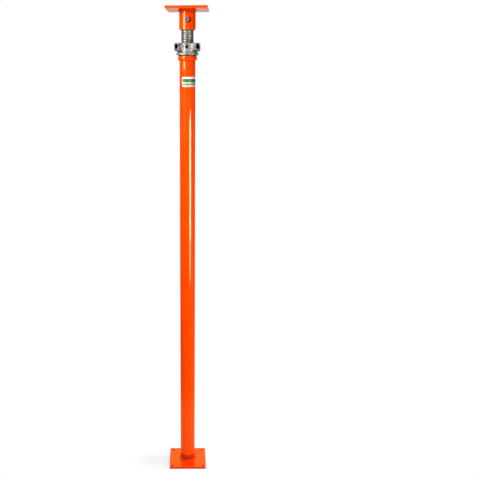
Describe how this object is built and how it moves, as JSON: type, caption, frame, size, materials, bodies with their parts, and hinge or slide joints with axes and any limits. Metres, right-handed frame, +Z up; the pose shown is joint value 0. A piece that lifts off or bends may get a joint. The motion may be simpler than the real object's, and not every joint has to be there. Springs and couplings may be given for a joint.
{
  "type": "adjustable steel prop",
  "caption": "Heavy steel post shore: pipe column on a square base plate, with a threaded inner screw, a cast collar nut with bar sockets and a bolted head plate.",
  "frame": {"origin": "middle of the base plate's underside, on the column's axis", "axes": "+Z up along the column; -Y is the front, where the head bolt shows; +X to the right seen from the front"},
  "size_m": [0.2442, 0.2442, 2.75],
  "materials": {
    "paint": "gloss orange enamel over welded steel",
    "casting": "as-cast, galvanised, mottled light grey",
    "worn_steel": "bare, threaded, worn",
    "zinc": "bright zinc plate",
    "dark_steel": "dark, oiled"
  },
  "bodies": {
    "outer": {"base_plate": "paint", "base_weld": "paint", "outer_tube": "paint", "bearing_ring": "paint", "ring_weld": "paint", "thrust_washer": "dark_steel"},
    "collar": {"collar_nut": "casting"},
    "screw": {"screw_tube": "worn_steel", "stop_ring": "dark_steel", "guide_ring": "dark_steel", "spring_pins": "dark_steel", "head_socket": "paint", "head_weld": "paint", "head_plate": "paint", "head_bolt": "zinc", "lock_washer": "zinc", "bolt_nut": "zinc"}
  },
  "joints": [
    {"name": "collar_turn", "type": "hinge", "parent": "outer", "child": "collar", "pos_m": [0, 0, 2.5007], "axis": [0, 0, 1], "range_deg": [-10080, 1800]},
    {"name": "screw_extend", "type": "slide", "parent": "outer", "child": "screw", "axis": [0, 0, 1], "range_m": [-0.0601, 0.3361]}
  ],
  "couplings": [
    {"joint": "screw_extend", "follows": "collar_turn", "m_per_rad": -0.0019099}
  ]
}
